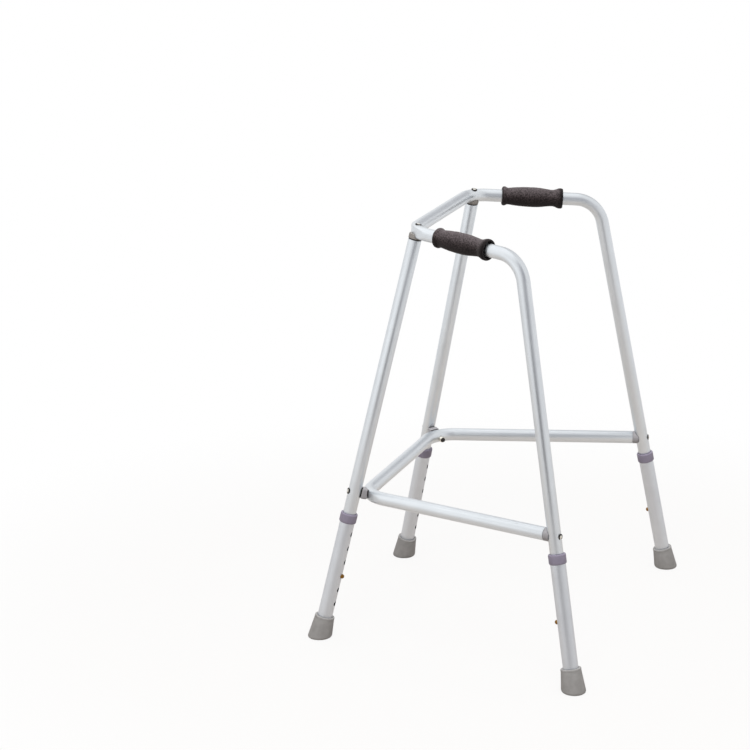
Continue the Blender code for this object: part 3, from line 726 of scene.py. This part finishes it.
def modelLowerLeg():
    leg = lowerLeg
    points = [Vector((0, 0, leg["bottom"])), Vector((0, 0, leg["top"]))]
    tube = drawTube("lowerLegModel", points, [], leg["radius"], leg["wall"])
    lowest = leg["buttonHeight"] - leg["pitch"] * leg["holesBelow"]
    heights = [lowest + leg["pitch"] * k for k in range(leg["holesBelow"] + 1 + leg["holesAbove"])]
    for height in (lowest - leg["pitch"], *heights):
        editMesh(tube)  # a ring of edges halfway to the next hole
        bpy.ops.mesh.bisect(plane_co=(0, 0, height + leg["pitch"] / 2), plane_no=(0, 0, 1))
        leaveEdit()
    for height in heights:
        axes = axesAt(Vector((0, 0, height)), Vector((0, 1, 0)), up)
        cutAway(tube, turnBar("holeBar", leg["holeRadius"], 0, leg["drill"], leg["holeFacets"], axes))
    closeMesh(tube, cutMerge)
    noteOwnPlace(tube)
    smooth(tube, 30)
    return tube


collar = {
    "radius": 0.0146, "top": 0.229, "height": 0.0168, "lip": 0.0030, "rounding": 0.0022, "bore": 0.0115,
    "socket": 0.0130, "boreEase": 0.0005, "facets": 64,
}


def modelCollar():
    c = collar
    base = c["top"] - c["height"]
    lipBase = c["top"] - c["lip"]
    profile = roundedProfile([
        (c["socket"], base), (c["radius"], base, c["rounding"]),
        (c["radius"], c["top"], c["rounding"]), (c["bore"], c["top"], c["boreEase"]),
        (c["bore"], lipBase), (c["socket"], lipBase), (c["socket"], base)])
    piece = turnProfile("collarModel", profile, c["facets"])
    smooth(piece, 50)
    return piece


foot = {
    "height": 0.0400, "topRadius": 0.0164, "baseRadius": 0.0206, "rim": 0.0040, "rimProud": 0.0006,
    "rounding": 0.0046, "sole": 0.0100, "socket": 0.0130, "mouth": 0.0131, "lip": 0.0016, "facets": 72,
    "below": 0.02, "rimStep": 0.0007, "stepEase": 0.0005, "ease": 0.0006, "mouthDrop": 0.0022,
}


def makeFoot(leg, axes):
    f = foot
    rimBase = f["height"] - f["rim"]
    taper = (f["baseRadius"] - f["topRadius"]) / f["height"]
    profile = roundedProfile([
        (0, -f["below"]), (f["baseRadius"] + taper * f["below"], -f["below"]),
        (f["topRadius"] + taper * f["rim"], rimBase, f["ease"]),
        (f["topRadius"] + f["rimProud"], rimBase + f["rimStep"], f["stepEase"]),
        (f["topRadius"] + f["rimProud"], f["height"], f["lip"]),
        (f["mouth"], f["height"], f["ease"]), (f["socket"], f["height"] - f["mouthDrop"], f["ease"]),
        (f["socket"], f["sole"]), (0, f["sole"])], 4)
    piece = turnProfile("foot_" + leg, profile, f["facets"])
    placeMesh(piece, axes)
    editMesh(piece)  # the floor trims the sole
    bpy.ops.mesh.bisect(plane_co=(0, 0, 0), plane_no=(0, 0, 1), clear_inner=True, use_fill=True)
    leaveEdit()
    closeMesh(piece)
    softenEdges(piece, f["rounding"], 4, 60)
    smooth(piece, 45)
    mount(piece, leg + "_leg", "ferrule_rubber", "ferrule_" + leg)


button = {
    "radius": 0.0038, "proud": 0.0045, "flangeRadius": 0.0052, "flange": 0.0012, "facets": 32, "steps": 7,
}


def modelButton():
    # Z points out of the leg, from the leg's axis
    b = button
    bore = tubeRadius - tubeStock["wall"]
    flangeTop = math.sqrt(bore ** 2 - b["flangeRadius"] ** 2) - tubeStock["seatGap"]
    domeBase = lowerLeg["radius"] + b["proud"] - b["radius"]
    profile = [(0, flangeTop - b["flange"]), (b["flangeRadius"], flangeTop - b["flange"]),
               (b["flangeRadius"], flangeTop), (b["radius"], flangeTop)]
    profile += quarterRound(b["radius"], b["radius"], domeBase, b["steps"])
    piece = turnProfile("buttonModel", profile, b["facets"])
    smooth(piece, 40)
    return piece


clip = {"press": 0.006, "edge": 0.00012}


def makeClip(leg):
    # the folded spring behind a button, which on the real frame closes as the button is pressed; here it keeps its
    # shape and rides on the frame
    node = frameNodes["snap_clip_" + leg]
    piece = bpy.data.objects.new("clip_" + leg, node.data.copy())
    bpy.context.scene.collection.objects.link(piece)
    closeMesh(piece)
    softenEdges(piece, clip["edge"], 2, 30)
    smooth(piece, 40)
    mount(piece, "frame", "spring_steel", "snap_clip_" + leg)
    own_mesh(piece)


legModel = modelLowerLeg()
collarModel = modelCollar()
buttonModel = modelButton()
buttonAxes = axesAt(Vector((0, 0, lowerLeg["buttonHeight"])), Vector((0, 1, 0)), up)
for leg in legNames:
    axes = legAxes(leg)
    tube = copyPiece(legModel, "lower_leg_" + leg, axes)
    mount(tube, leg + "_leg", "anodised_aluminium", "leg_tube_" + leg, drilledFinish)
    ring = copyPiece(collarModel, "collar_" + leg, axes)
    mount(ring, leg + "_leg", "collar_plastic", "leg_collar_" + leg)
    makeFoot(leg, axes)
    knob = copyPiece(buttonModel, "button_" + leg, axes @ buttonAxes)
    mount(knob, leg + "_button", "brass", "snap_button_" + leg)
    makeClip(leg)
for model in (legModel, collarModel, buttonModel):
    bpy.data.objects.remove(model)
print("lower legs, collars, feet and buttons made")


# Foam grips

grip = {
    "start": 0.0565, "length": 0.1065, "cupDepth": 0.0065, "cupRadius": 0.0150, "facets": 96,
    "unevenness": 0.0006, "lumpSize": 0.006, "frontRim": (0.0008, 0.0034), "rearRim": (0.0965, 0.1030),
    "lead": 0.0006, "cupEase": 0.0006, "cupTaper": 0.0008, "cupSlack": 0.0004,
    # distance from the front end and radius: front ring, neck, belly, rear neck, wide rear ring
    "stations": ((0.0000, 0.0138), (0.0009, 0.0157), (0.0026, 0.0167), (0.0046, 0.0168), (0.0066, 0.0161),
                 (0.0088, 0.0150), (0.0112, 0.0146), (0.0150, 0.0149), (0.0220, 0.0158), (0.0310, 0.0166),
                 (0.0410, 0.0171), (0.0510, 0.0173), (0.0600, 0.0172), (0.0680, 0.0167), (0.0750, 0.0158),
                 (0.0815, 0.0149), (0.0865, 0.0144), (0.0905, 0.0145), (0.0935, 0.0152), (0.0965, 0.0164),
                 (0.0990, 0.0173), (0.1018, 0.0178), (0.1046, 0.0177), (0.1065, 0.0168)),
}


def smoothThrough(stations, steps):
    # more stations between the given ones, on a smooth line through them
    slopes = [0.0]
    for (x0, r0), (x2, r2) in zip(stations, stations[2:]):
        slopes.append((r2 - r0) / (x2 - x0))
    slopes.append(0.0)
    line = []
    for i, ((x0, r0), (x1, r1)) in enumerate(zip(stations, stations[1:])):
        for k in range(steps):
            t = k / steps
            lean = (x1 - x0) * (slopes[i] * t * (1 - t) ** 2 - slopes[i + 1] * t ** 2 * (1 - t))
            line.append((x0 + (x1 - x0) * t, r0 + (r1 - r0) * t ** 2 * (3 - 2 * t) + lean))
    return line + [stations[-1]]


def modelGrip():
    g = grip
    end = g["start"] + g["length"]
    points = [(seatRadius, g["start"] + g["lead"])]
    points += [(radius, g["start"] + run) for run, radius in smoothThrough(g["stations"], 3)]
    points += roundedProfile([
        points[-1], (g["cupRadius"], end, g["cupEase"]),
        (g["cupRadius"] - g["cupTaper"], end - g["cupDepth"], g["cupTaper"]),
        (seatRadius, end - g["cupDepth"])], 3)[1:]
    points.append(points[0])
    piece = turnProfile("gripModel", points, g["facets"])
    cloud = bpy.data.textures.new("foamUnevenness", "CLOUDS")
    cloud.noise_scale = g["lumpSize"]
    cloud.noise_depth = 2
    useModifier(piece, "DISPLACE", texture=cloud, texture_coords="LOCAL", strength=g["unevenness"],
                mid_level=0.5)
    smooth(piece, 60)
    return piece


def noteGripShading(piece, corner, along):
    # how far the foam faces up, and where the end rims and the hollow are, which the finish paints darker as
    # painted shade
    g = grip
    upward = piece.data.attributes.new("facesUp", "FLOAT", "POINT")
    upward.data.foreach_set("value", [v.normal.z for v in piece.data.vertices])
    rims = piece.data.attributes.new("endRim", "FLOAT", "POINT")
    for vertex in piece.data.vertices:
        arm = vertex.co - corner
        run = arm.dot(along) - g["start"]
        radius = (arm - along * arm.dot(along)).length
        front = 1 - (run - g["frontRim"][0]) / (g["frontRim"][1] - g["frontRim"][0])
        rear = (run - g["rearRim"][0]) / (g["rearRim"][1] - g["rearRim"][0])
        hollow = 1.0 if run > g["rearRim"][0] and radius < g["cupRadius"] + g["cupSlack"] else 0.0
        rims.data[vertex.index].value = max(0.0, min(1.0, max(front, rear, hollow)))


gripModel = modelGrip()
for side in sideSigns:
    corner = onSide(frontCorner, side)
    axes = axesAt(corner, onSide(rearCorner, side) - corner, up)
    piece = copyPiece(gripModel, "foam_grip_" + side, axes)
    noteGripShading(piece, corner, (onSide(rearCorner, side) - corner).normalized())
    mount(piece, "frame", "grip_foam", "grip_" + side)
bpy.data.objects.remove(gripModel)
print("grips made")


# Screws and nuts, each along its own Z with the head at the bottom

screw = {
    "radius": 0.0030, "headRadius": 0.0029, "dome": 0.0010, "washerRadius": 0.0052, "washerProud": 0.0006,
    "washerEase": 0.00036, "skirt": 0.0036, "facets": 40, "steps": 6, "nutEase": 0.0005,
    "nutCorner": 0.00575, "nutThickness": 0.0050, "nutDome": 0.0045, "nutRim": 0.0007, "end": 0.0020,
}


def domePoints(radius, height, apex, upward, steps):
    # a spherical cap from its apex to its edge
    ball = (radius ** 2 + height ** 2) / (2 * height)
    reach = math.asin(min(1, radius / ball))
    points = []
    for k in range(steps + 1):
        angle = reach * k / steps
        points.append((ball * math.sin(angle), apex - upward * ball * (1 - math.cos(angle))))
    return points


def makeShadeRing(name, axes, seat, bar, node):
    # a dark ring under the screw's head, bedded on the tube: painted dark reflection round the domed head
    s = screw
    bore = s["radius"] + tubeStock["hairGap"]
    top = seat - s["washerProud"]
    ring = roundedProfile([
        (bore, seat + s["skirt"]), (bore, top), (s["washerRadius"], top, s["washerEase"]),
        (s["washerRadius"], seat + s["skirt"]), (bore, seat + s["skirt"])])
    piece = fitTurned(name, ring, s["facets"], axes, bar)
    mount(piece, "frame", "dark_plastic", node, blackAndShadeFinish)


def makeScrew(kind, side, axes, seat, length, bar, node):
    s = screw
    makeShadeRing(kind + "_washer_" + side, axes, seat, bar, node)
    base = seat - s["washerProud"] - tubeStock["hairGap"]
    head = domePoints(s["headRadius"], s["dome"], base - s["dome"], -1, s["steps"])
    head += [(s["radius"], base), (s["radius"], seat + length), (0, seat + length)]
    piece = fitTurned(kind + "_screw_" + side, head, s["facets"], axes)
    mount(piece, "frame", "bright_steel", node)


def makeCapNut(name, axes, seat, bar, node):
    s = screw
    clearSelection()
    bpy.ops.mesh.primitive_cylinder_add(vertices=6, radius=s["nutCorner"], depth=1)
    piece = bpy.context.object
    piece.name = name
    top = seat + s["nutThickness"]
    start = seat - s["skirt"]
    tall = Matrix.Diagonal((1, 1, top - start, 1))
    placeMesh(piece, Matrix.Translation((0, 0, (start + top) / 2)) @ tall)
    softenEdges(piece, s["nutEase"], 2, 30)
    placeMesh(piece, axes)
    cutAway(piece, bar, keepCutter=True)
    inside = s["nutCorner"] * math.cos(math.pi / 6) - s["nutRim"]
    base = top + tubeStock["hairGap"]
    dome = [(0, base), *quarterRound(inside, s["nutDome"], base, s["steps"])]
    cap = fitTurned(name + "_end", dome, s["facets"], axes)
    smooth(piece, 30)
    mount(piece, "frame", "bright_steel", node)
    mount(cap, "frame", "dark_plastic", node, blackAndShadeFinish)


# Moulded saddles at the front corners, spacers and plugs at the rail

saddle = {
    "radius": 0.0115, "lobe": 0.0050, "shank": 0.0220, "rounding": 0.0006, "facets": 56,
    "seatRadius": 0.0107, "seatHeight": 0.0015, "seatEase": 0.0004, "shankEase": 0.001,
}


def makeCorner(side):
    s = saddle
    axes = legAxes("front_" + side)
    gap = tubeStock["seatGap"]
    shankRadius = tubeRadius - tubeStock["wall"] - gap
    ringBore = shankRadius + tubeStock["hairGap"]
    rim = frontLegTop + gap
    ringTop = rim + s["seatHeight"]
    shoulder = ringTop + tubeStock["hairGap"]
    shankEnd = frontLegTop - s["shank"]
    lobeTop = frontLegLength - s["lobe"]
    profile = roundedProfile([
        (0, shankEnd), (shankRadius, shankEnd, s["shankEase"]), (shankRadius, shoulder),
        (s["radius"], shoulder, s["rounding"]), (s["radius"], lobeTop), (0, lobeTop)])
    piece = fitTurned("corner_saddle_" + side, profile, s["facets"], axes, handleBar)
    mount(piece, "frame", "dark_plastic", "corner_plug_" + side)
    # a dark ring in a groove at the top of the leg: painted shade for the dark line under the tube
    ring = roundedProfile([
        (ringBore, rim), (s["seatRadius"], rim, s["seatEase"]), (s["seatRadius"], ringTop, s["seatEase"]),
        (ringBore, ringTop), (ringBore, rim)], 3)
    piece = fitTurned("corner_seat_" + side, ring, s["facets"], axes)
    mount(piece, "frame", "dark_plastic", "corner_plug_" + side, blackAndShadeFinish)
    down = axes @ Matrix.Translation((0, 0, frontLegLength)) @ Matrix.Rotation(math.pi, 4, "X")
    length = tubeRadius + frontLegLength - shankEnd + screw["nutThickness"] + screw["end"]
    makeScrew("corner", side, down, -seatRadius, length, handleBar, "corner_bolt_" + side)


spacer = {
    "width": 0.0180, "tallness": 0.0185, "lobe": 0.0012, "rounding": 0.0035, "seat": 0.0015,
    "spareAngle": math.radians(3),
}


def dropSpareCorners(piece):
    # corners that a cut left in the middle of an edge
    closeMesh(piece, cutMerge)
    editMesh(piece)
    bpy.ops.mesh.dissolve_limited(angle_limit=spacer["spareAngle"])
    leaveEdit()


def makeRailShadePad(block, end, side, bar, points, bends):
    # a dark pad between the spacer and a tube, cut from the spacer's block: painted shade in the gap between them
    wideBar = drawTube("wideBar", points, bends, seatRadius + spacer["seat"])
    pad = copyPiece(block, "rail_pad_" + end + "_" + side, Matrix.Identity(4))
    cutAway(pad, wideBar, "INTERSECT", keepCutter=True)
    cutAway(pad, bar, keepCutter=True)
    dropSpareCorners(pad)
    smooth(pad, 35)
    mount(pad, "frame", "dark_plastic", "front_rail_spacer_" + side, blackAndShadeFinish)
    cutAway(block, wideBar)
    dropSpareCorners(block)


def makeRailFront(side):
    s = spacer
    axes = axesAt(onSide(legCrossing, side), onSide(railBolt, side), up)
    start = tubeRadius - s["lobe"]
    length = layout["spacerLength"] + 2 * s["lobe"]
    clearSelection()
    bpy.ops.mesh.primitive_cube_add(size=1)
    piece = bpy.context.object
    piece.name = "rail_spacer_" + side
    block = Matrix.Diagonal((s["width"], s["tallness"], length, 1))
    placeMesh(piece, Matrix.Translation((0, 0, start + length / 2)) @ block)
    for edge in piece.data.edges:
        ends = [piece.data.vertices[v].co for v in edge.vertices]
        edge.select = abs(ends[0].z - ends[1].z) > s["lobe"]
    activate(piece)
    bpy.ops.object.mode_set(mode="EDIT")
    bpy.ops.mesh.select_mode(type="EDGE")
    bpy.ops.mesh.bevel(offset=s["rounding"], segments=6, affect="EDGES")
    bpy.ops.mesh.select_mode(type="VERT")
    leaveEdit()
    placeMesh(piece, axes)
    makeRailShadePad(piece, "leg", side, uprightBars[side], frontLegPoints(side), [])
    makeRailShadePad(piece, "rail", side, railBar, railPoints, railBends)
    smooth(piece, 35)
    mount(piece, "frame", "plug_plastic", "front_rail_spacer_" + side)
    nutSeat = railBoltSpan + seatRadius
    length = tubeRadius + nutSeat + screw["nutThickness"] / 2
    makeScrew("rail", side, axes, -seatRadius, length, uprightBars[side], "front_rail_bolt_" + side)
    makeCapNut("rail_cap_" + side, axes, nutSeat, railBar, "front_rail_nut_" + side)


railPlug = {"lobe": 0.0050, "shank": 0.0220, "facets": 56, "rounding": 0.0006, "shankEase": 0.001}


def makeRailRear(side):
    p = railPlug
    axes = axesAt(onSide(rearCrossing, side), onSide(railForward, side), up)
    tubeEnd = tubeRadius + layout["railPlugLength"]
    start = tubeRadius - p["lobe"]
    shoulder = tubeEnd - tubeStock["seatGap"]
    shankEnd = tubeEnd + p["shank"]
    shankRadius = tubeRadius - tubeStock["wall"] - tubeStock["seatGap"]
    profile = roundedProfile([
        (0, start), (tubeRadius, start), (tubeRadius, shoulder, p["rounding"]),
        (shankRadius, shoulder), (shankRadius, shankEnd, p["shankEase"]), (0, shankEnd)])
    piece = fitTurned("rail_end_" + side, profile, p["facets"], axes, handleBar)
    mount(piece, "frame", "plug_plastic", "rail_end_plug_" + side)
    length = tubeRadius + shankEnd + screw["nutThickness"] + screw["end"]
    makeScrew("rear", side, axes, -seatRadius, length, handleBar, "rear_rail_bolt_" + side)


for side in sideSigns:
    makeCorner(side)
    makeRailFront(side)
    makeRailRear(side)
for bar in (handleBar, railBar, *uprightBars.values()):
    bpy.data.objects.remove(bar)
print("saddles, spacers, plugs, screws and nuts made")


# Floor, light and camera

studio = {
    "floorSize": 40.0, "floorFacets": 96, "floorInset": 36.0, "floorDrop": 0.0004,
    "floorColour": (0.83, 0.755, 0.690), "bounce": (0.32, 0.29, 0.265), "ambient": (0.40, 0.40, 0.40),
    "floorFade": (0.55, 1.3), "nearShare": 0.89, "mirrorFade": (0.3, 2.2),
    "dimSpot": (0.95, 0.30, 0.0), "dimReach": (0.45, 1.1), "dimShare": 0.22, "dimShade": (0.40, 0.40, 0.43),
    "middle": Vector((0, 0, 0.36)), "lampColour": (0.96, 0.985, 1.0),
    "cardFade": (0.25, 1.0), "cardBlue": 1.08,
}


def startStage(name):
    finish = bpy.data.materials.new(name)
    finish.use_nodes = True
    tree = finish.node_tree
    tree.nodes.remove(tree.nodes["Principled BSDF"])
    return finish, tree, put(tree, "TexCoord").outputs["Object"]


def mixShaders(tree, share, first, second):
    node = put(tree, "MixShader", Fac=share)
    tree.links.new(first.outputs[0], node.inputs[1])
    tree.links.new(second.outputs[0], node.inputs[2])
    return node


def makeFloor():
    s = studio
    clearSelection()
    bpy.ops.mesh.primitive_circle_add(vertices=s["floorFacets"], radius=s["floorSize"], fill_type="NGON")
    floor = bpy.context.object
    floor.name = "studioFloor"
    editMesh(floor)
    bpy.ops.mesh.inset(thickness=s["floorInset"])
    leaveEdit()
    placeMesh(floor, Matrix.Translation((0, 0, -s["floorDrop"])))  # clear of the soles
    finish, tree, place = startStage("paleFloor")
    light = put(tree, "LightPath").outputs
    reach = vectorCalc(tree, "LENGTH", place)
    mirrored = calc(tree, "ADD", light["Is Glossy Ray"], light["Is Transmission Ray"], clamp=True)
    colour = between(tree, light["Is Diffuse Ray"], s["floorColour"], s["bounce"])
    shader = put(tree, "BsdfDiffuse", Color=colour)
    # the metal sees plain white far off, and a dim spot at the studio's dark side
    white = put(tree, "Emission", Strength=1.0)
    far = calc(tree, "MULTIPLY", spread(tree, reach, 0.0, 1.0, s["mirrorFade"]), mirrored)
    shader = mixShaders(tree, far, shader, white)
    away = vectorCalc(tree, "DISTANCE", place, s["dimSpot"])
    spot = spread(tree, away, s["dimShare"], 0.0, s["dimReach"], "SMOOTHSTEP")
    dim = put(tree, "Emission", Color=s["dimShade"])
    shader = mixShaders(tree, calc(tree, "MULTIPLY", spot, mirrored), shader, dim)
    # the camera sees the white air through the floor and, near the frame, a share of its shadow
    fade = spread(tree, reach, s["nearShare"], 1.0, s["floorFade"], "SMOOTHSTEP")
    clear = put(tree, "BsdfTransparent")
    shader = mixShaders(tree, calc(tree, "MULTIPLY", fade, light["Is Camera Ray"]), shader, clear)
    tree.links.new(shader.outputs[0], tree.nodes["Material Output"].inputs["Surface"])
    floor.data.materials.append(finish)


def makeWorld():
    world = bpy.data.worlds.new("studioAir")
    bpy.context.scene.world = world
    world.use_nodes = True
    tree = world.node_tree
    back = tree.nodes["Background"].inputs
    light = put(tree, "LightPath").outputs
    direct = calc(tree, "ADD", light["Is Camera Ray"], light["Is Glossy Ray"])
    direct = calc(tree, "ADD", direct, light["Is Transmission Ray"], clamp=True)
    feed(tree, back["Color"], between(tree, direct, studio["ambient"], (1.0, 1.0, 1.0)))
    back["Strength"].default_value = 1.0


view = {
    "aim": Vector((-0.0364, -0.2268, 0.3990)), "distance": 4.508, "azimuth": 20.0441, "elevation": 15.6533,
    "roll": math.radians(-0.477), "lens": 122.88, "sensor": 36.0, "farthest": 200,
}


def outFrom(turn, lift):
    # the way out from the frame, in degrees right of the camera and up
    angle = math.radians(view["azimuth"]) + math.radians(turn)
    lift = math.radians(lift)
    return Vector((math.cos(lift) * math.cos(angle), math.cos(lift) * math.sin(angle), math.sin(lift)))


def makeCamera():
    toCamera = outFrom(0, view["elevation"])
    right = (-toCamera).cross(up).normalized()
    above = right.cross(-toCamera)
    lens = bpy.data.cameras.new("photoView")
    lens.lens = view["lens"]
    lens.sensor_width = view["sensor"]
    lens.sensor_fit = "HORIZONTAL"
    lens.clip_end = view["farthest"]
    camera = bpy.data.objects.new("photoView", lens)
    bpy.context.scene.collection.objects.link(camera)
    turnedRight = right * math.cos(view["roll"]) + above * math.sin(view["roll"])
    turnedUp = above * math.cos(view["roll"]) - right * math.sin(view["roll"])
    axes = Matrix((turnedRight, turnedUp, toCamera)).transposed().to_4x4()
    axes.translation = view["aim"] + toCamera * view["distance"]
    camera.matrix_world = axes
    bpy.context.scene.camera = camera


lamps = {
    # name: degrees right of the camera, elevation, distance, width, height, brightness, seen in metal
    "overhead": (-110, 64, 3.0, 4.6, 4.6, 0.24, True),
    "left": (-56, 11, 3.0, 2.8, 1.6, 0.22, True),
    "keyLight": (-5, 54, 3.2, 1.6, 1.6, 3.6, False),
    "topLight": (60, 80, 3.0, 2.4, 2.4, 1.4, False),
}
cards = {
    # the dim side of the studio, seen only in the metal: the same, with the shade of its middle
    "dimHigh": (18, 30, 1.72, 1.8, 2.7, 0.38),
    "dimLow": (-1, -4, 1.32, 1.15, 1.2, 0.10),
    "dimBack": (156, 27, 3.0, 3.2, 1.4, 0.36),
}


def makeLamps():
    for name, (turn, lift, distance, width, height, bright, mirrored) in lamps.items():
        out = outFrom(turn, lift)
        lamp = bpy.data.lights.new(name, "AREA")
        lamp.shape = "RECTANGLE"
        lamp.size = width
        lamp.size_y = height
        lamp.energy = bright * 4 * width * height
        lamp.color = studio["lampColour"]
        holder = bpy.data.objects.new(name, lamp)
        holder.visible_glossy = mirrored
        bpy.context.scene.collection.objects.link(holder)
        holder.matrix_world = axesAt(studio["middle"] + out * distance, out, up)


def makeCards():
    for name, (turn, lift, distance, width, height, shade) in cards.items():
        out = outFrom(turn, lift)
        clearSelection()
        bpy.ops.mesh.primitive_plane_add(size=2)
        card = bpy.context.object
        card.name = name
        size = Matrix.Diagonal((width / 2, height / 2, 1, 1))
        card.matrix_world = axesAt(studio["middle"] + out * distance, out, up) @ size
        for ray in ("camera", "diffuse", "transmission", "shadow"):
            setattr(card, "visible_" + ray, False)
        finish, tree, place = startStage(name)
        dim = put(tree, "Emission", Color=(shade, shade, shade * studio["cardBlue"]))
        clear = put(tree, "BsdfTransparent")
        reach = vectorCalc(tree, "LENGTH", place)
        fade = spread(tree, reach, 0.0, 1.0, studio["cardFade"], "SMOOTHSTEP")
        shader = mixShaders(tree, fade, dim, clear)
        tree.links.new(shader.outputs[0], tree.nodes["Material Output"].inputs["Surface"])
        card.data.materials.append(finish)


makeFloor()
makeWorld()
makeCamera()
makeLamps()
makeCards()
bpy.context.scene.view_settings.view_transform = "Standard"
print("floor, light and camera set")
